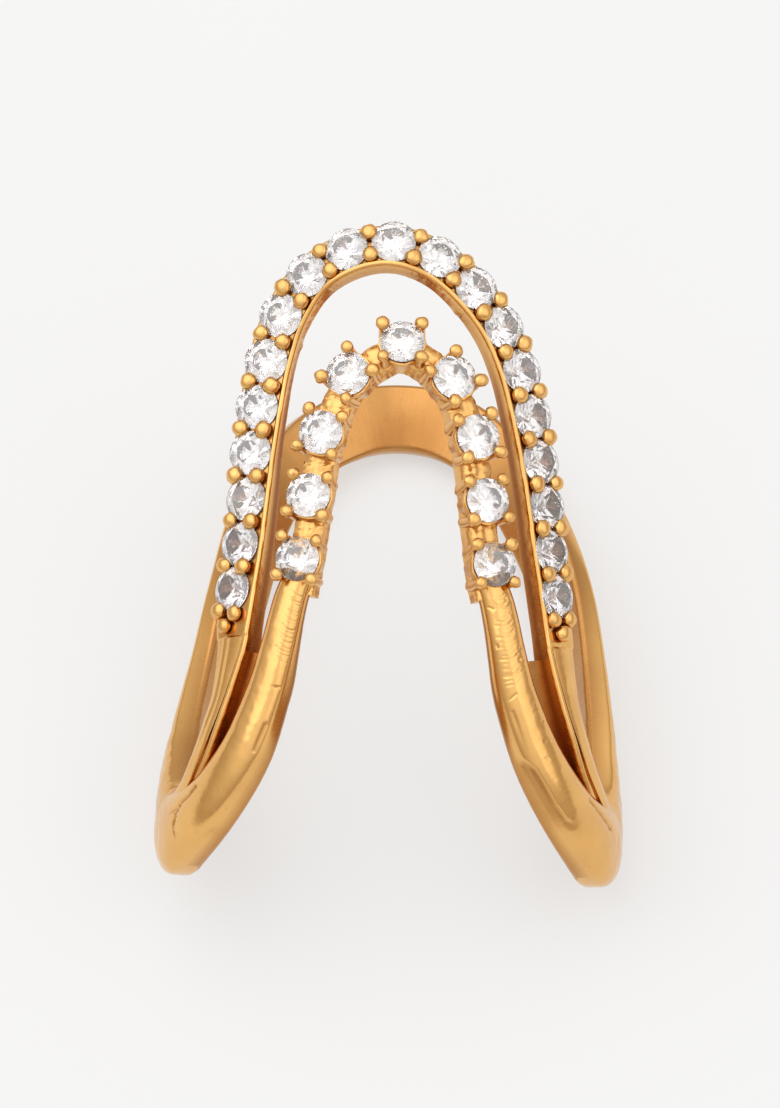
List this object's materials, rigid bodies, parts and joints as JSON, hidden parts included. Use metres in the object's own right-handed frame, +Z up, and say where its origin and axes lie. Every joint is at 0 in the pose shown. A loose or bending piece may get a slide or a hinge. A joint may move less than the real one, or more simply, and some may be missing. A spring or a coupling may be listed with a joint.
{
  "type": "wishbone finger ring",
  "caption": "Gold-plated wishbone finger ring with two round-topped arches of set clear stones over a smooth V-shaped shank.",
  "frame": {"origin": "middle of the underside of the part's box, on the surface the ring lies on", "axes": "+Z up, away from the surface; +Y from the ring's two tips towards the top of the shank, with the finger's axis rising 19 degrees above it; the stone-set arches face up, and +X is on the right as the wearer looks down on the arches with the tips towards them"},
  "size_m": [0.0214, 0.0284, 0.0211],
  "materials": {
    "gold": "gold-plated, polished, with fine file and casting marks",
    "clear_stone": "cut and polished"
  },
  "bodies": {
    "root": {"ring_body": "gold", "outer_stone_01": "clear_stone", "outer_stone_02": "clear_stone", "outer_stone_03": "clear_stone", "outer_stone_04": "clear_stone", "outer_stone_05": "clear_stone", "outer_stone_06": "clear_stone", "outer_stone_07": "clear_stone", "outer_stone_08": "clear_stone", "outer_stone_09": "clear_stone", "outer_stone_10": "clear_stone", "outer_stone_11": "clear_stone", "outer_stone_12": "clear_stone", "outer_stone_13": "clear_stone", "outer_stone_14": "clear_stone", "outer_stone_15": "clear_stone", "outer_stone_16": "clear_stone", "outer_stone_17": "clear_stone", "outer_stone_18": "clear_stone", "outer_stone_19": "clear_stone", "inner_stone_1": "clear_stone", "inner_stone_2": "clear_stone", "inner_stone_3": "clear_stone", "inner_stone_4": "clear_stone", "inner_stone_5": "clear_stone", "inner_stone_6": "clear_stone", "inner_stone_7": "clear_stone", "inner_stone_8": "clear_stone", "inner_stone_9": "clear_stone"}
  },
  "joints": []
}
